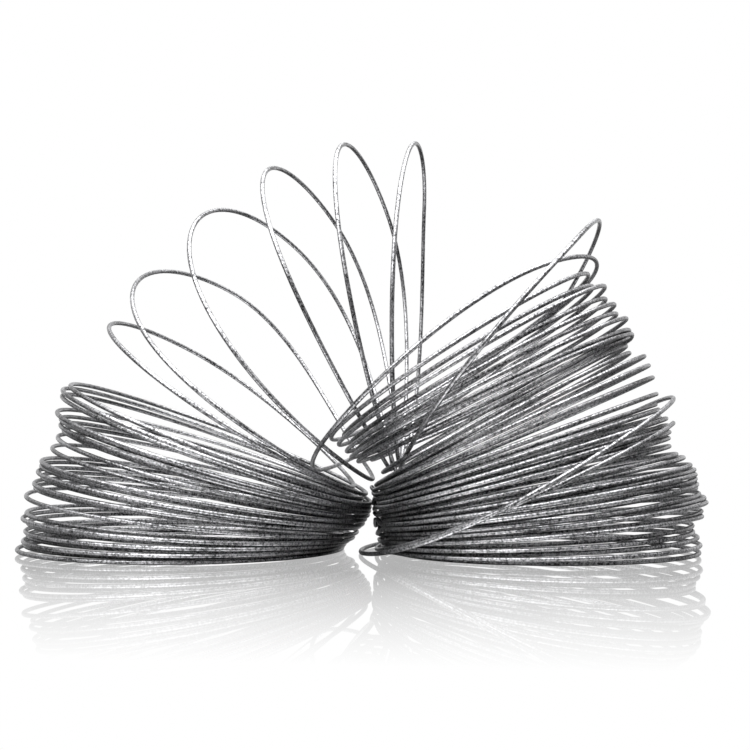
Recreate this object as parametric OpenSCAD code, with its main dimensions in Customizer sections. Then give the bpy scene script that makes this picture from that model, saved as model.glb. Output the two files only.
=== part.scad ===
// Coil of drawn steel wire, splayed open like a fan: one continuous wire whose turns all draw
// together at a pinch, with a heap of turns lying to the left, a row of turns standing free,
// and a larger heap lying to the right. Millimetres, +Z up, standing on Z = 0.

/* [Wire] */
// Diameter of the round wire
wire_d = 2; // [1.2:0.1:2.5]
// Nominal diameter of one turn, between wire centres
turn_d = 155; // [120:1:200]

/* [Heaps] */
// Turns in the left heap
left_turns = 24; // [12:1:25]
// Turns in the right heap
right_turns = 44; // [20:1:46]

/* [Mesh] */
// Rings of the wire's surface in each turn
rings_per_turn = 20; // [16:1:20]

/* [Hidden] */

// Rise of the left heap at the pinch with each turn, in wire diameters
left_rise_share = 0.5;
// Rise of the right heap at the pinch with each turn, in wire diameters
right_rise_share = 0.6;
// Neighbouring turns lie inside and outside each other by this share of the wire
stagger_share = 1.15;
// How flat the stagger's wave is
stagger_flat_share = 0.15;
// Height of the tail's pinch, in wire diameters
tail_height_share = 0.62;
// Shares of a turn by which the wire starts before its first pinch and ends past its last
lead_share = 0.12;
tail_share = 1.46;

// Heaps, by share of the heap from the floor up: fan angle, reach share of turn_d, pinch share
// of turn_d, and share of the heap's height at the pinch
left_heap_shares = [
    [0.000, 180.0, 0.959, -0.105, 0.00],
    [0.100, 178.9, 0.963, -0.095, 0.10],
    [0.210, 177.6, 0.979, -0.076, 0.21],
    [0.232, 175.5, 0.984, -0.073, 0.23],
    [0.442, 173.2, 1.000, -0.046, 0.44],
    [0.465, 171.0, 0.986, -0.043, 0.46],
    [0.628, 169.1, 0.986, -0.028, 0.63],
    [0.651, 167.0, 0.973, -0.026, 0.65],
    [0.674, 166.8, 0.974, -0.024, 0.67],
    [0.698, 164.9, 0.973, -0.022, 0.70],
    [0.860, 162.8, 0.978, -0.016, 0.86],
    [0.884, 160.3, 0.981, -0.015, 0.88],
    [1.000, 158.4, 0.983, -0.012, 1.00],
];
right_heap_shares = [
    [0.000, 0.0, 0.915, 0.056, 0.000],
    [0.060, 2.2, 0.918, 0.053, 0.046],
    [0.130, 5.2, 0.930, 0.051, 0.100],
    [0.190, 7.0, 0.945, 0.049, 0.146],
    [0.250, 8.3, 0.945, 0.047, 0.192],
    [0.300, 9.4, 0.930, 0.045, 0.231],
    [0.360, 10.8, 0.922, 0.043, 0.277],
    [0.420, 13.6, 0.897, 0.040, 0.323],
    [0.460, 15.0, 0.885, 0.038, 0.354],
    [0.550, 17.0, 0.884, 0.034, 0.423],
    [0.630, 19.8, 0.884, 0.030, 0.485],
    [0.650, 23.0, 0.892, 0.029, 0.500],
    [0.700, 25.8, 0.880, 0.027, 0.555],
    [0.725, 27.0, 0.855, 0.036, 0.580],
    [0.750, 29.2, 0.855, 0.062, 0.630],
    [0.776, 28.6, 0.830, 0.055, 0.720],
    [0.795, 25.2, 0.890, -0.014, 0.800],
    [0.845, 26.6, 0.900, -0.035, 0.835],
    [0.897, 29.0, 0.910, -0.050, 0.880],
    [0.948, 30.6, 0.910, -0.075, 0.950],
    [1.000, 33.0, 0.890, -0.103, 1.030],
];
// Free turns, a line for each quarter from the pinch by the front, the outer end and the back:
// fan angle, reach share, depth share and pinch share of turn_d, height share between the heaps' pinches
free_shares = [
    [157.0, 0.900, 0.92, -0.032, 0.09],
    [150.5, 0.900, 0.92, -0.034, 0.28],
    [147.0, 0.905, 0.92, -0.034, 0.32],
    [143.0, 0.900, 0.93, -0.036, 0.28],
    [150.0, 0.920, 0.96, -0.045, 0.10],
    [147.5, 0.920, 1.08, -0.030, 0.31],
    [136.0, 0.930, 0.95, -0.020, 0.35],
    [121.0, 0.940, 0.83, -0.012, 0.35],
    [139.0, 0.950, 0.77, -0.002, 0.38],
    [133.5, 0.960, 0.86, -0.006, 0.33],
    [118.5, 0.960, 0.92, -0.004, 0.35],
    [104.0, 0.985, 0.80, 0.045, 0.33],
    [104.0, 0.995, 0.50, 0.080, 0.42],
    [112.5, 0.995, 0.80, 0.030, 0.36],
    [108.0, 1.005, 1.05, 0.008, 0.41],
    [95.5, 0.990, 0.84, 0.040, 0.46],
    [95.0, 0.990, 0.50, 0.110, 0.38],
    [97.5, 0.990, 0.76, 0.035, 0.49],
    [95.5, 1.005, 0.96, 0.022, 0.52],
    [86.0, 0.990, 0.80, 0.060, 0.54],
    [86.0, 0.980, 0.62, 0.100, 0.48],
    [87.0, 0.995, 0.86, 0.073, 0.53],
    [84.5, 1.005, 0.92, 0.056, 0.53],
    [80.0, 0.990, 0.46, 0.025, 0.53],
    [60.0, 0.970, 0.95, 0.115, 0.58],
    [50.0, 0.970, 1.29, 0.100, 0.49],
    [50.0, 0.970, 1.08, 0.064, 0.49],
    [38.0, 0.980, 1.12, 0.000, 0.45],
    [46.0, 1.040, 1.24, -0.190, 0.41],
    [44.0, 1.060, 1.14, -0.180, 0.41],
    [34.5, 1.070, 1.02, -0.170, 0.49],
    [33.0, 1.020, 0.92, -0.130, 0.78],
];
// The tail, a turn across the front of the right heap and half a turn to the cut end, by quarters:
// fan angle, reach, depth and pinch shares of turn_d
tail_shares = [
    [4.0, 1.000, 1.08, -0.020],
    [24.0, 1.020, 1.14, 0.000],
    [27.5, 1.016, 1.10, 0.000],
    [26.0, 1.000, 1.08, 0.000],
    [14.0, 1.000, 1.05, 0.010],
    [22.0, 0.985, 1.08, 0.010],
    [23.5, 0.989, 1.03, 0.005],
];

// How far the turns of a heap stray: reach in slow waves and by quarters, depth in slow waves
reach_wave_share = 0.010;
reach_wobble_share = 0.003;
depth_sway_share = 0.012;
angle_wobble = 0.03;
turns_per_wave = 7.3;
turns_per_sway = 9.1;
sway_phase = 57.3;
golden_angle = 137.5;

quarters = 4;
free_turns = len(free_shares) / quarters;
turns = left_turns + free_turns + right_turns;
left_pinch_h = left_turns * left_rise_share * wire_d;
right_pinch_h = right_turns * right_rise_share * wire_d;
// A square as large in area as the round wire's section
half_side = wire_d * sqrt(PI) / 4;

function column(table, c, key) = lookup(key, [for (row = table) [row[0], row[c]]]);

// Values of each quarter turn: fan angle, reach, depth, pinch x, pinch z, shift along Y
function heap_row(table, count, pinch_h, t, i) =
    let (
        wave = cos(360 * count / turns_per_wave * t),
        sway = cos(360 * count / turns_per_sway * t + sway_phase),
        stray = 1 + reach_wave_share * wave + reach_wobble_share * cos(golden_angle * i + 90),
        reach = column(table, 2, t) * stray * turn_d
    )
    [
        column(table, 1, t) + angle_wobble * cos(golden_angle * i),
        reach,
        reach,
        column(table, 3, t) * turn_d,
        wire_d / 2 + pinch_h * column(table, 4, t),
        depth_sway_share * turn_d * sway,
    ];
function free_row(row, z) = [row[0], row[1] * turn_d, row[2] * turn_d, row[3] * turn_d, z, 0];
function up(count) = [for (i = [0 : quarters * count - 1]) i / (quarters * count - 1)];
left_up = up(left_turns);
right_up = up(right_turns);

quarter_rows = concat(
    [for (i = [0 : len(left_up) - 1])
        heap_row(left_heap_shares, left_turns, left_pinch_h, left_up[i], i)],
    [for (row = free_shares)
        free_row(row, wire_d / 2 + left_pinch_h + (right_pinch_h - left_pinch_h) * row[4])],
    [for (i = [0 : len(right_up) - 1])
        heap_row(right_heap_shares, right_turns, right_pinch_h, 1 - right_up[i], i)],
    [for (row = tail_shares) free_row(row, tail_height_share * wire_d)]
);

// Smooth values at s turns along the wire
function quarter_row(k) = quarter_rows[max(0, min(k, len(quarter_rows) - 1))];
function blend(s) =
    let (
        u = quarters * s + 0.5,
        k = floor(u),
        t = u - k
    )
    pow(1 - t, 2) / 2 * quarter_row(k - 1)
    + (0.5 + t * (1 - t)) * quarter_row(k)
    + pow(t, 2) / 2 * quarter_row(k + 1);

// Centre of the wire at s turns along it
function centre(s) =
    let (
        v = blend(s),
        lag = 180 * (s - turns),
        wave = (1 + stagger_flat_share) * cos(lag) - stagger_flat_share * cos(3 * lag),
        step = stagger_share * wire_d * wave,
        out = v[1] / 2 - (v[1] / 2 + step) * cos(360 * s)
    )
    [
        v[3] + out * cos(v[0]),
        v[5] - (v[2] / 2 + step) * sin(360 * s),
        v[4] + out * sin(v[0]),
    ];

function unit(v) = v / norm(v);
// Four corners of the wire's section, with two faces square to the plane of the turn
function ring(s) =
    let (
        ds = 1 / (4 * rings_per_turn),
        along = unit(centre(s + ds) - centre(s - ds)),
        a = blend(s)[0],
        flat = [-sin(a), 0, cos(a)],
        over = unit(flat - (flat * along) * along),
        side = cross(along, over)
    )
    [for (c = [[1, 1], [-1, 1], [-1, -1], [1, -1]]) centre(s) + half_side * (c[0] * side + c[1] * over)];

ring_count = floor((lead_share + turns + tail_share) * rings_per_turn) + 1;
rings = [for (i = [0 : ring_count - 1]) each ring(i / rings_per_turn - lead_share)];
xs = [for (p = rings) p[0]];
ys = [for (p = rings) p[1]];
zs = [for (p = rings) p[2]];
// The middle of the coil's base is the origin
base = [(min(xs) + max(xs)) / 2, (min(ys) + max(ys)) / 2, min(zs)];
sides = 4;
skin = [
    for (i = [0 : ring_count - 2])
        for (k = [0 : sides - 1])
            let (
                a = i * sides + k,
                b = i * sides + (k + 1) % sides
            )
            each [[a, b, b + sides], [a, b + sides, a + sides]]
];
last = (ring_count - 1) * sides;
caps = [[3, 2, 1, 0], [last, last + 1, last + 2, last + 3]];

module wire_coil() {
    color("darkgray")
        translate(-base)
            polyhedron(points = rings, faces = concat(skin, caps), convexity = 10);
}

wire_coil();
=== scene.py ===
"""Looks of a coil of drawn steel wire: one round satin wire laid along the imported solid."""
import itertools
import math

import bpy
import numpy as np
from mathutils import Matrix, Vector


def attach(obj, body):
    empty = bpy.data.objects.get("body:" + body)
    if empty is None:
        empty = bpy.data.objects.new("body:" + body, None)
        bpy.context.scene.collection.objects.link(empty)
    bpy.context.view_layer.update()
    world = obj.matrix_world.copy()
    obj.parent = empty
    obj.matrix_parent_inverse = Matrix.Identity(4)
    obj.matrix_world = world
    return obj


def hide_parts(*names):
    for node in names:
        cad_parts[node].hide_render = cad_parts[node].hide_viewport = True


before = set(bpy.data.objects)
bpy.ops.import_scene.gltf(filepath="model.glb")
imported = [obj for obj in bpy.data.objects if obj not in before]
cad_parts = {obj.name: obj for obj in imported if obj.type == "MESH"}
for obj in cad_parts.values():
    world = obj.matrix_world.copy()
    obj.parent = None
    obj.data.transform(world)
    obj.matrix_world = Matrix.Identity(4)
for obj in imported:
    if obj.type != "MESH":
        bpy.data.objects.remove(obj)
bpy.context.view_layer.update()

MM = 0.001

# The wire and its turns, in millimetres, as in the part's source
WIRE_D = 2.0
TURN_D = 155.0
LEFT_TURNS = 24
RIGHT_TURNS = 44
LEFT_RISE_SHARE = 0.5
RIGHT_RISE_SHARE = 0.6
STAGGER_SHARE = 1.15
STAGGER_FLAT_SHARE = 0.15
TAIL_HEIGHT_SHARE = 0.62
LEAD_SHARE = 0.12
TAIL_SHARE = 1.46
REACH_WAVE_SHARE = 0.010
REACH_WOBBLE_SHARE = 0.003
DEPTH_SWAY_SHARE = 0.012
ANGLE_WOBBLE = 0.03
TURNS_PER_WAVE = 7.3
TURNS_PER_SWAY = 9.1
SWAY_PHASE = 57.3
GOLDEN_ANGLE = 137.5
QUARTERS = 4

# Heaps, by share of the heap from the floor up: fan angle, reach, pinch and height shares
LEFT_HEAP_SHARES = np.array([
    [0.000, 180.0, 0.959, -0.105, 0.00],
    [0.100, 178.9, 0.963, -0.095, 0.10],
    [0.210, 177.6, 0.979, -0.076, 0.21],
    [0.232, 175.5, 0.984, -0.073, 0.23],
    [0.442, 173.2, 1.000, -0.046, 0.44],
    [0.465, 171.0, 0.986, -0.043, 0.46],
    [0.628, 169.1, 0.986, -0.028, 0.63],
    [0.651, 167.0, 0.973, -0.026, 0.65],
    [0.674, 166.8, 0.974, -0.024, 0.67],
    [0.698, 164.9, 0.973, -0.022, 0.70],
    [0.860, 162.8, 0.978, -0.016, 0.86],
    [0.884, 160.3, 0.981, -0.015, 0.88],
    [1.000, 158.4, 0.983, -0.012, 1.00],
])
RIGHT_HEAP_SHARES = np.array([
    [0.000, 0.0, 0.915, 0.056, 0.000],
    [0.060, 2.2, 0.918, 0.053, 0.046],
    [0.130, 5.2, 0.930, 0.051, 0.100],
    [0.190, 7.0, 0.945, 0.049, 0.146],
    [0.250, 8.3, 0.945, 0.047, 0.192],
    [0.300, 9.4, 0.930, 0.045, 0.231],
    [0.360, 10.8, 0.922, 0.043, 0.277],
    [0.420, 13.6, 0.897, 0.040, 0.323],
    [0.460, 15.0, 0.885, 0.038, 0.354],
    [0.550, 17.0, 0.884, 0.034, 0.423],
    [0.630, 19.8, 0.884, 0.030, 0.485],
    [0.650, 23.0, 0.892, 0.029, 0.500],
    [0.700, 25.8, 0.880, 0.027, 0.555],
    [0.725, 27.0, 0.855, 0.036, 0.580],
    [0.750, 29.2, 0.855, 0.062, 0.630],
    [0.776, 28.6, 0.830, 0.055, 0.720],
    [0.795, 25.2, 0.890, -0.014, 0.800],
    [0.845, 26.6, 0.900, -0.035, 0.835],
    [0.897, 29.0, 0.910, -0.050, 0.880],
    [0.948, 30.6, 0.910, -0.075, 0.950],
    [1.000, 33.0, 0.890, -0.103, 1.030],
])
# Free turns, a line for each quarter: fan angle, reach, depth, pinch and height shares
FREE_SHARES = np.array([
    [157.0, 0.900, 0.92, -0.032, 0.09],
    [150.5, 0.900, 0.92, -0.034, 0.28],
    [147.0, 0.905, 0.92, -0.034, 0.32],
    [143.0, 0.900, 0.93, -0.036, 0.28],
    [150.0, 0.920, 0.96, -0.045, 0.10],
    [147.5, 0.920, 1.08, -0.030, 0.31],
    [136.0, 0.930, 0.95, -0.020, 0.35],
    [121.0, 0.940, 0.83, -0.012, 0.35],
    [139.0, 0.950, 0.77, -0.002, 0.38],
    [133.5, 0.960, 0.86, -0.006, 0.33],
    [118.5, 0.960, 0.92, -0.004, 0.35],
    [104.0, 0.985, 0.80, 0.045, 0.33],
    [104.0, 0.995, 0.50, 0.080, 0.42],
    [112.5, 0.995, 0.80, 0.030, 0.36],
    [108.0, 1.005, 1.05, 0.008, 0.41],
    [95.5, 0.990, 0.84, 0.040, 0.46],
    [95.0, 0.990, 0.50, 0.110, 0.38],
    [97.5, 0.990, 0.76, 0.035, 0.49],
    [95.5, 1.005, 0.96, 0.022, 0.52],
    [86.0, 0.990, 0.80, 0.060, 0.54],
    [86.0, 0.980, 0.62, 0.100, 0.48],
    [87.0, 0.995, 0.86, 0.073, 0.53],
    [84.5, 1.005, 0.92, 0.056, 0.53],
    [80.0, 0.990, 0.46, 0.025, 0.53],
    [60.0, 0.970, 0.95, 0.115, 0.58],
    [50.0, 0.970, 1.29, 0.100, 0.49],
    [50.0, 0.970, 1.08, 0.064, 0.49],
    [38.0, 0.980, 1.12, 0.000, 0.45],
    [46.0, 1.040, 1.24, -0.190, 0.41],
    [44.0, 1.060, 1.14, -0.180, 0.41],
    [34.5, 1.070, 1.02, -0.170, 0.49],
    [33.0, 1.020, 0.92, -0.130, 0.78],
])
# The tail across the front of the right heap: fan angle, reach, depth and pinch shares
TAIL_SHARES = np.array([
    [4.0, 1.000, 1.08, -0.020],
    [24.0, 1.020, 1.14, 0.000],
    [27.5, 1.016, 1.10, 0.000],
    [26.0, 1.000, 1.08, 0.000],
    [14.0, 1.000, 1.05, 0.010],
    [22.0, 0.985, 1.08, 0.010],
    [23.5, 0.989, 1.03, 0.005],
])
TURNS = LEFT_TURNS + len(FREE_SHARES) / QUARTERS + RIGHT_TURNS
LEFT_PINCH_H = LEFT_TURNS * LEFT_RISE_SHARE * WIRE_D
RIGHT_PINCH_H = RIGHT_TURNS * RIGHT_RISE_SHARE * WIRE_D

# How far the turns of each heap stray from their places, sideways and off their plane, in
# millimetres, and how often in each turn
LEFT_STRAYS = (0.6, 0.2)
RIGHT_STRAYS = (1.8, 1.1)
STRAYS_PER_TURN = 2.2
STRAY_SEED = 7
# The share of these at a turn's front and back, and how much more it is at the turn's outer end
# and less at the pinch
FAR_SHARE = 0.6
FAR_SWING_SHARE = 0.4
# Turns that lie closer to the group above or below them: turns along the wire, and millimetres
# off their plane, which is downwards in the left heap and upwards in the right one
SHIFTS = np.array([
    [5.0, 0.0],
    [5.6, 4.0],
    [7.8, 4.0],
    [8.6, -4.0],
    [10.6, -4.0],
    [11.2, 0.0],
    [37.0, 0.0],
    [39.5, -2.5],
    [41.0, -2.5],
    [41.9, 3.0],
    [44.0, 3.0],
    [50.0, 0.0],
])
# The least distance between two wires' centres, and how the strayed turns settle to it. Points
# within one bend of the wire don't push each other
CLEAR = 1.01 * WIRE_D
SETTLE_ROUNDS = 60
SETTLE_GAIN = 1.4
SETTLE_POINTS = 9
BENDS_PER_TURN = 12

# The wire's surface
POINTS_PER_RING = 5
RINGS_PER_TURN = 96
SIDES = 12

# The camera, in millimetres from the pinch
CAMERA_DISTANCE = 520.0
CAMERA_AZIMUTH = 6.0
CAMERA_HEIGHT = 47.0
CAMERA_AIM = (2.4, 0.0, 84.0)
CAMERA_LENS = 52.0
CAMERA_CLIP = 10.0

# The steel: grain in each metre, lighter patches and drawn lines in each millimetre along and
# around the wire, and how far the patches count beside the grain
GRAIN_PER_METRE = 1000.0
PATCHES_PER_MM = (0.025, 0.0, 0.0)
LINES_PER_MM = (0.05, 3.0, 1.0)
PATCH_SHARE = 0.35
# Its greys and the span of grain between them, its roughness, and the heights of its relief in metres
GREYS = ((0.045, 0.045, 0.047, 1), (0.66, 0.66, 0.678, 1))
GREY_SPAN = (0.41, 0.62)
ROUGHNESS = (0.28, 0.42)
GRAIN_HEIGHT = 0.00008
LINE_HEIGHT = 0.00005
# Painted shade in its crevices, the grey darker where other turns are near: how far it looks for
# other turns, in metres, how open a place is, and the share of the grey that is left
PAINTED_SHADE_REACH = 0.008
PAINTED_SHADE_SPAN = (0.25, 0.60)
PAINTED_SHADE_LEVELS = (0.02, 1.0)

# The floor, in metres: where its mirror fades at the front, the sides and the back, the mirror's
# share and roughness, and how bright the floor is to the metal
WHITE = (1, 1, 1, 1)
FLOOR_HALF = 8.0
MIRROR_FRONT = (-0.27, -0.085)
MIRROR_SIDES = (0.18, 0.36)
MIRROR_BACK = (0.10, 0.28)
MIRROR_SHARE = 0.56
MIRROR_ROUGHNESS = 0.012
FLOOR_TO_METAL = 0.16

# The room that the metal sees, by the height and depth of the direction: a white card that ends
# at the top and the front, and a light that grows upwards
CARD_TOP = (0.24, 0.32)
CARD_FRONT = (0.50, 0.60)
ROOM_HEIGHTS = (0.10, 0.70)
ROOM_LEVELS = (0.26, 1.0)

# The lamps, in metres and watts: place, width and power
LAMP_AIM = (0.0, 0.0, 0.06)
LAMPS = {
    "key": ((-0.30, -0.55, 0.50), 0.80, 6.0),
    "top": ((0.10, -0.05, 0.85), 1.20, 16.0),
}

# Places of the colour sockets of a mix
COLOUR_A = 6
COLOUR_B = 7
COLOUR_OUT = 2


def cos_deg(angle):
    return np.cos(np.radians(angle))


def sin_deg(angle):
    return np.sin(np.radians(angle))


def heap_rows(table, turns, pinch_h, rising):
    """Fan angle, reach, depth, pinch x, pinch z and shift along Y for each quarter turn of a heap."""
    i = np.arange(QUARTERS * turns)
    t = i / (QUARTERS * turns - 1)
    if not rising:
        t = 1 - t
    angle, reach, pinch, height = (np.interp(t, table[:, 0], table[:, c]) for c in (1, 2, 3, 4))
    wave = cos_deg(360 * turns / TURNS_PER_WAVE * t)
    sway = cos_deg(360 * turns / TURNS_PER_SWAY * t + SWAY_PHASE)
    stray = 1 + REACH_WAVE_SHARE * wave + REACH_WOBBLE_SHARE * cos_deg(GOLDEN_ANGLE * i + 90)
    reach = reach * stray * TURN_D
    angle = angle + ANGLE_WOBBLE * cos_deg(GOLDEN_ANGLE * i)
    return np.column_stack([angle, reach, reach, pinch * TURN_D, WIRE_D / 2 + pinch_h * height,
                            DEPTH_SWAY_SHARE * TURN_D * sway])


def free_rows(shares, z):
    """The same columns for turns that lie in no heap."""
    return np.column_stack([shares[:, 0], shares[:, 1:4] * TURN_D, z, np.zeros(len(shares))])


def quarter_rows():
    free_z = WIRE_D / 2 + LEFT_PINCH_H + (RIGHT_PINCH_H - LEFT_PINCH_H) * FREE_SHARES[:, 4]
    tail_z = np.full(len(TAIL_SHARES), TAIL_HEIGHT_SHARE * WIRE_D)
    return np.concatenate([
        heap_rows(LEFT_HEAP_SHARES, LEFT_TURNS, LEFT_PINCH_H, True),
        free_rows(FREE_SHARES, free_z),
        heap_rows(RIGHT_HEAP_SHARES, RIGHT_TURNS, RIGHT_PINCH_H, False),
        free_rows(TAIL_SHARES, tail_z),
    ])


def blend(rows, s):
    """Smooth values at s turns along the wire."""
    u = QUARTERS * s + 0.5
    k = np.floor(u).astype(int)
    t = (u - k)[:, None]
    before, here, after = (rows[np.clip(k + d, 0, len(rows) - 1)] for d in (-1, 0, 1))
    return (1 - t) ** 2 / 2 * before + (0.5 + t * (1 - t)) * here + t ** 2 / 2 * after


def wire_path(s):
    """Centre of the wire, and its turn's flat direction, at s turns along it."""
    angle, reach, depth, x, z, y = blend(quarter_rows(), s).T
    lag = 180 * (s - TURNS)
    wave = (1 + STAGGER_FLAT_SHARE) * cos_deg(lag) - STAGGER_FLAT_SHARE * cos_deg(3 * lag)
    step = STAGGER_SHARE * WIRE_D * wave
    out = reach / 2 - (reach / 2 + step) * cos_deg(360 * s)
    centre = np.column_stack([
        x + out * cos_deg(angle),
        y - (depth / 2 + step) * sin_deg(360 * s),
        z + out * sin_deg(angle),
    ])
    flat = np.column_stack([-sin_deg(angle), np.zeros(len(s)), cos_deg(angle)])
    return centre, flat


def unit(v):
    return v / np.linalg.norm(v, axis=1, keepdims=True)


def smooth_noise(rng, s):
    """Random values along the wire, blended smoothly from each to the next."""
    u = (s - s[0]) * STRAYS_PER_TURN
    k = np.floor(u).astype(int)
    t = u - k
    t = t * t * (3 - 2 * t)
    value = rng.uniform(-1, 1, k[-1] + 2)
    return ((1 - t) * value[k] + t * value[k + 1])[:, None]


def strayed(s, centre, flat):
    """The path with the turns of both heaps shifted a little out of their places."""
    rng = np.random.default_rng(STRAY_SEED)
    side = np.cross(unit(np.gradient(centre, axis=0)), flat)
    in_left = np.clip(LEFT_TURNS - s, 0, 1)[:, None]
    in_right = np.clip(np.minimum(s - TURNS + RIGHT_TURNS, TURNS - s), 0, 1)[:, None]
    far = (FAR_SHARE - FAR_SWING_SHARE * cos_deg(360 * s))[:, None]
    for left, right, way in zip(LEFT_STRAYS, RIGHT_STRAYS, (side, flat)):
        centre = centre + (in_left * left + in_right * right) * far * smooth_noise(rng, s) * way
    return centre + np.interp(s, *SHIFTS.T)[:, None] * far * flat


def close_pairs(points, reach):
    """Indices of points that may be nearer to each other than the reach, found cell by cell."""
    cell = np.floor((points - points.min(axis=0)) / reach).astype(np.int64) + 1
    size = cell.max(axis=0) + 2
    key = (cell[:, 0] * size[1] + cell[:, 1]) * size[2] + cell[:, 2]
    order = np.argsort(key, kind="stable")
    ranked = key[order]
    found = []
    for x, y, z in itertools.product((-1, 0, 1), repeat=3):
        if (x, y, z) < (0, 0, 0):
            continue
        other = key + (x * size[1] + y) * size[2] + z
        first = np.searchsorted(ranked, other, "left")
        count = np.searchsorted(ranked, other, "right") - first
        a = np.repeat(np.arange(len(points)), count)
        b = order[np.arange(len(a)) + np.repeat(first - np.cumsum(count) + count, count)]
        pairs = np.column_stack([a, b])
        found.append(pairs if any((x, y, z)) else pairs[a < b])
    return np.concatenate(found)


def settled(points, per_turn):
    """The path with wires that cut into each other or into the floor pushed apart."""
    window = np.ones(SETTLE_POINTS) / SETTLE_POINTS
    for _ in range(SETTLE_ROUNDS):
        a, b = close_pairs(points, CLEAR).T
        apart = points[a] - points[b]
        distance = np.linalg.norm(apart, axis=1)
        near = (distance < CLEAR) & (np.abs(a - b) > per_turn / BENDS_PER_TURN)
        a, b, apart, distance = a[near], b[near], apart[near], distance[near]
        push = apart * ((CLEAR - distance) / distance / 2)[:, None]
        count = np.bincount(a, minlength=len(points)) + np.bincount(b, minlength=len(points))
        for axis in range(3):
            move = np.bincount(a, push[:, axis], len(points)) - np.bincount(b, push[:, axis], len(points))
            move = SETTLE_GAIN * move / np.maximum(count, 1)
            points[:, axis] += np.convolve(move, window, "same")
        points[:, 2] = np.maximum(points[:, 2], WIRE_D / 2)
    return points


def tube(centre, flat):
    """Mesh of a round wire along the path, its UVs in millimetres along and around."""
    along = unit(np.gradient(centre, axis=0))
    over = unit(flat - np.sum(flat * along, axis=1, keepdims=True) * along)
    side = np.cross(along, over)
    turn = 2 * math.pi * np.arange(SIDES) / SIDES
    ring = np.cos(turn)[None, :, None] * side[:, None] + np.sin(turn)[None, :, None] * over[:, None]
    points = (centre[:, None] + WIRE_D / 2 * ring).reshape(-1, 3) * MM
    count = len(centre)
    first = (np.arange(count - 1)[:, None] * SIDES + np.arange(SIDES)).ravel()
    second = (np.arange(count - 1)[:, None] * SIDES + (np.arange(SIDES) + 1) % SIDES).ravel()
    quads = np.column_stack([first, second, second + SIDES, first + SIDES])
    last = (count - 1) * SIDES
    caps = [list(range(SIDES))[::-1], list(range(last, last + SIDES))]
    mesh = bpy.data.meshes.new("wire")
    mesh.from_pydata(points.tolist(), [], quads.tolist() + caps)
    smooth = np.ones(len(mesh.polygons), bool)
    smooth[-2:] = False
    mesh.polygons.foreach_set("use_smooth", smooth)
    length = np.concatenate([[0], np.cumsum(np.linalg.norm(np.diff(centre, axis=0), axis=1))])
    around = WIRE_D * math.pi / SIDES
    column = np.arange(SIDES)
    u = np.stack([length[:-1], length[:-1], length[1:], length[1:]], axis=-1)
    v = np.stack([column, column + 1, column + 1, column], axis=-1) * around
    uv = np.zeros((count - 1, SIDES, 4, 2))
    uv[..., 0] = u[:, None, :]
    uv[..., 1] = v[None, :, :]
    uv = np.concatenate([uv.reshape(-1), np.zeros(4 * SIDES)])
    mesh.uv_layers.new(name="length").data.foreach_set("uv", uv)
    mesh.validate()
    return mesh


def nodes_of(owner):
    """Empty node tree of a material or world, and functions to add nodes, link them and map spans."""
    owner.use_nodes = True
    tree = owner.node_tree
    tree.nodes.clear()

    def add(kind, **values):
        node = tree.nodes.new(kind)
        for name, value in values.items():
            if name in node.inputs:
                node.inputs[name].default_value = value
            else:
                setattr(node, name, value)
        return node

    def link(a, out, b, into):
        tree.links.new(a.outputs[out], b.inputs[into])

    def mapped(span, onto):
        limits = zip(("From Min", "From Max", "To Min", "To Max"), (*span, *onto))
        return add("ShaderNodeMapRange", **dict(limits))

    return add, link, mapped


def steel():
    """Satin grey drawn steel: fine grain, faint lines along the wire, lighter patches, and painted shade
    darkening the crevices.
    """
    made = bpy.data.materials.new("drawn_steel")
    add, link, mapped = nodes_of(made)
    out = add("ShaderNodeOutputMaterial")
    shader = add("ShaderNodeBsdfPrincipled", Metallic=1.0)
    place = add("ShaderNodeTexCoord")
    grain = add("ShaderNodeTexNoise", Scale=GRAIN_PER_METRE, Detail=3.0, Roughness=0.7)
    reach = add("ShaderNodeMapping", Scale=PATCHES_PER_MM)
    patch = add("ShaderNodeTexNoise", Scale=1.0, Detail=3.0)
    stretch = add("ShaderNodeMapping", Scale=LINES_PER_MM)
    lines = add("ShaderNodeTexNoise", Scale=1.0, Detail=3.0)
    mixed = add("ShaderNodeMix", Factor=PATCH_SHARE)
    colour = add("ShaderNodeValToRGB")
    for stop, position, grey in zip(colour.color_ramp.elements, GREY_SPAN, GREYS):
        stop.position = position
        stop.color = grey
    rough = mapped((0.0, 1.0), ROUGHNESS)
    bump_grain = add("ShaderNodeBump", Strength=0.30, Distance=GRAIN_HEIGHT)
    bump_lines = add("ShaderNodeBump", Strength=0.20, Distance=LINE_HEIGHT)
    # Painted shade: ambient occlusion darkens the grey where other turns are near
    open_share = add("ShaderNodeAmbientOcclusion", Distance=PAINTED_SHADE_REACH, samples=2)
    painted_crevice_shade = mapped(PAINTED_SHADE_SPAN, PAINTED_SHADE_LEVELS)
    grey_with_painted_shade = add("ShaderNodeMix", data_type="RGBA", blend_type="MULTIPLY", Factor=1.0)
    link(place, "Object", grain, "Vector")
    link(place, "UV", reach, "Vector")
    link(reach, "Vector", patch, "Vector")
    link(place, "UV", stretch, "Vector")
    link(stretch, "Vector", lines, "Vector")
    link(grain, "Fac", mixed, "A")
    link(patch, "Fac", mixed, "B")
    link(mixed, "Result", colour, "Fac")
    # The painted shade is multiplied into the base grey
    link(open_share, "AO", painted_crevice_shade, "Value")
    link(colour, "Color", grey_with_painted_shade, COLOUR_A)
    link(painted_crevice_shade, "Result", grey_with_painted_shade, COLOUR_B)
    link(grey_with_painted_shade, COLOUR_OUT, shader, "Base Color")
    link(patch, "Fac", rough, "Value")
    link(rough, "Result", shader, "Roughness")
    link(lines, "Fac", bump_lines, "Height")
    link(grain, "Fac", bump_grain, "Height")
    link(bump_lines, "Normal", bump_grain, "Normal")
    link(bump_grain, "Normal", shader, "Normal")
    link(shader, "BSDF", out, "Surface")
    return made


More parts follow.
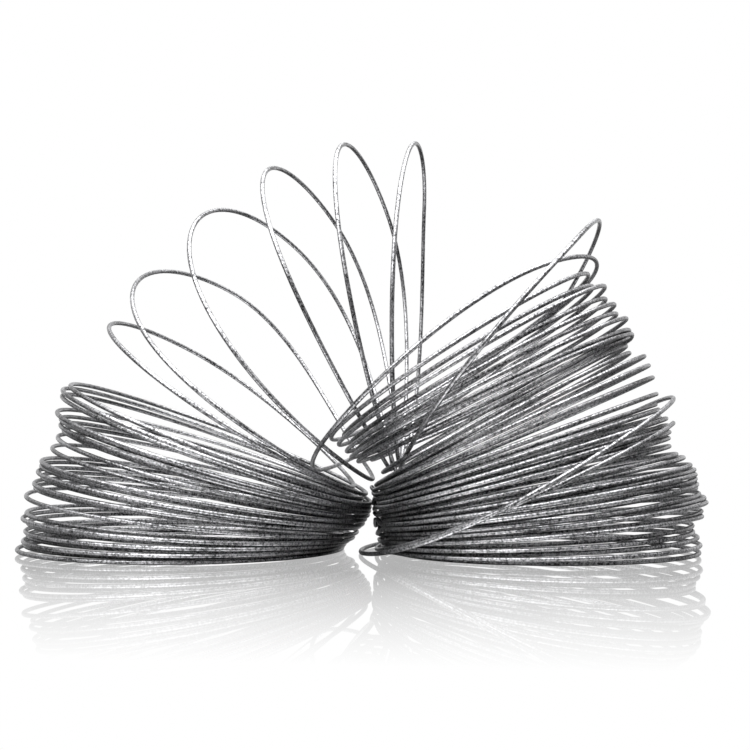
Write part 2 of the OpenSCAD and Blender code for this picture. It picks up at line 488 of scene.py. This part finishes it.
def floor_finish():
    """White gloss that mirrors what stands on it, and less and less away from it."""
    made = bpy.data.materials.new("white_gloss")
    add, link, mapped = nodes_of(made)
    out = add("ShaderNodeOutputMaterial")
    white = add("ShaderNodeEmission", Color=WHITE)
    rays = add("ShaderNodeLightPath")
    mirrored = add("ShaderNodeMath", operation="MAXIMUM")
    dimmed = add("ShaderNodeMath", operation="MULTIPLY")
    dimmed.inputs[1].default_value = FLOOR_TO_METAL
    strength = add("ShaderNodeMath", operation="MAXIMUM")
    mirror = add("ShaderNodeBsdfGlossy", Color=WHITE, Roughness=MIRROR_ROUGHNESS)
    place = add("ShaderNodeTexCoord")
    parts = add("ShaderNodeSeparateXYZ")
    front = mapped(MIRROR_FRONT, (0.0, MIRROR_SHARE))
    sideways = add("ShaderNodeMath", operation="ABSOLUTE")
    sides = mapped(MIRROR_SIDES, (1.0, 0.0))
    back = mapped(MIRROR_BACK, (1.0, 0.0))
    near = add("ShaderNodeMath", operation="MULTIPLY")
    share = add("ShaderNodeMath", operation="MULTIPLY")
    mixed = add("ShaderNodeMixShader")
    link(rays, "Is Glossy Ray", mirrored, 0)
    link(rays, "Is Transmission Ray", mirrored, 1)
    link(mirrored, "Value", dimmed, 0)
    link(dimmed, "Value", strength, 0)
    link(rays, "Is Camera Ray", strength, 1)
    link(strength, "Value", white, "Strength")
    link(place, "Object", parts, "Vector")
    link(parts, "Y", front, "Value")
    link(parts, "Y", back, "Value")
    link(parts, "X", sideways, 0)
    link(sideways, "Value", sides, "Value")
    link(sides, "Result", near, 0)
    link(back, "Result", near, 1)
    link(near, "Value", share, 0)
    link(front, "Result", share, 1)
    link(share, "Value", mixed, "Fac")
    link(white, "Emission", mixed, 1)
    link(mirror, "BSDF", mixed, 2)
    link(mixed, "Shader", out, "Surface")
    return made


def studio_world():
    """White to the camera. Metal sees it white above and low at the back, and dim elsewhere."""
    world = bpy.data.worlds.new("studio")
    add, link, mapped = nodes_of(world)
    out = add("ShaderNodeOutputWorld")
    light = add("ShaderNodeBackground", Color=WHITE)
    place = add("ShaderNodeTexCoord")
    parts = add("ShaderNodeSeparateXYZ")
    low = mapped(CARD_TOP, (1.0, 0.0))
    behind = mapped(CARD_FRONT, (0.0, 1.0))
    above = mapped(ROOM_HEIGHTS, ROOM_LEVELS)
    card = add("ShaderNodeMath", operation="MULTIPLY")
    room = add("ShaderNodeMath", operation="MAXIMUM")
    rays = add("ShaderNodeLightPath")
    mirrored = add("ShaderNodeMath", operation="MAXIMUM")
    shown = add("ShaderNodeMath", operation="MULTIPLY")
    strength = add("ShaderNodeMath", operation="MAXIMUM")
    link(place, "Generated", parts, "Vector")
    link(parts, "Z", low, "Value")
    link(parts, "Z", above, "Value")
    link(parts, "Y", behind, "Value")
    link(low, "Result", card, 0)
    link(behind, "Result", card, 1)
    link(card, "Value", room, 0)
    link(above, "Result", room, 1)
    link(rays, "Is Glossy Ray", mirrored, 0)
    link(rays, "Is Transmission Ray", mirrored, 1)
    link(mirrored, "Value", shown, 0)
    link(room, "Value", shown, 1)
    link(shown, "Value", strength, 0)
    link(rays, "Is Camera Ray", strength, 1)
    link(strength, "Value", light, "Strength")
    link(light, "Background", out, "Surface")
    bpy.context.scene.world = world


def area_light(name, place, aim, width, power):
    data = bpy.data.lights.new(name, "AREA")
    data.shape = "DISK"
    data.size = width
    data.energy = power
    lamp = bpy.data.objects.new(name, data)
    lamp.location = place
    lamp.rotation_mode = "QUATERNION"
    lamp.rotation_quaternion = (aim - place).to_track_quat("-Z", "Y")
    bpy.context.scene.collection.objects.link(lamp)


scene = bpy.context.scene
scene.view_settings.view_transform = "Standard"

# The wire, laid with the middle of its box where the solid has it
per_turn = RINGS_PER_TURN * POINTS_PER_RING
stations = np.arange(-LEAD_SHARE, TURNS + TAIL_SHARE, 1 / per_turn)
path, flats = wire_path(stations)
low, high = path.min(axis=0), path.max(axis=0)
pinch = np.array([-(low[0] + high[0]) / 2, -(low[1] + high[1]) / 2, WIRE_D / 2 - low[2]])
path = settled(strayed(stations, path + pinch, flats), per_turn)
wire = bpy.data.objects.new("wire", tube(path[::POINTS_PER_RING], flats[::POINTS_PER_RING]))
scene.collection.objects.link(wire)
wire.data.materials.append(steel())
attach(wire, "root")
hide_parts("wire_coil")

# The floor
corners = [(x * FLOOR_HALF, y * FLOOR_HALF, 0) for x, y in ((-1, -1), (1, -1), (1, 1), (-1, 1))]
floor_mesh = bpy.data.meshes.new("floor")
floor_mesh.from_pydata(corners, [], [(0, 1, 2, 3)])
floor = bpy.data.objects.new("floor", floor_mesh)
scene.collection.objects.link(floor)
floor.data.materials.append(floor_finish())

# The camera
pinch_place = Vector(pinch * MM)
azimuth = math.radians(CAMERA_AZIMUTH)
eye = Vector((math.sin(azimuth), -math.cos(azimuth), 0)) * CAMERA_DISTANCE * MM
eye.z = CAMERA_HEIGHT * MM
aim = Vector(CAMERA_AIM) * MM
camera = bpy.data.objects.new("camera", bpy.data.cameras.new("camera"))
camera.data.lens = CAMERA_LENS
camera.data.clip_start = CAMERA_CLIP * MM
camera.location = pinch_place + eye
camera.rotation_mode = "QUATERNION"
camera.rotation_quaternion = (aim - eye).to_track_quat("-Z", "Y")
scene.collection.objects.link(camera)
scene.camera = camera

# The light
studio_world()
for name, (place, width, power) in LAMPS.items():
    area_light(name, Vector(place), Vector(LAMP_AIM), width, power)
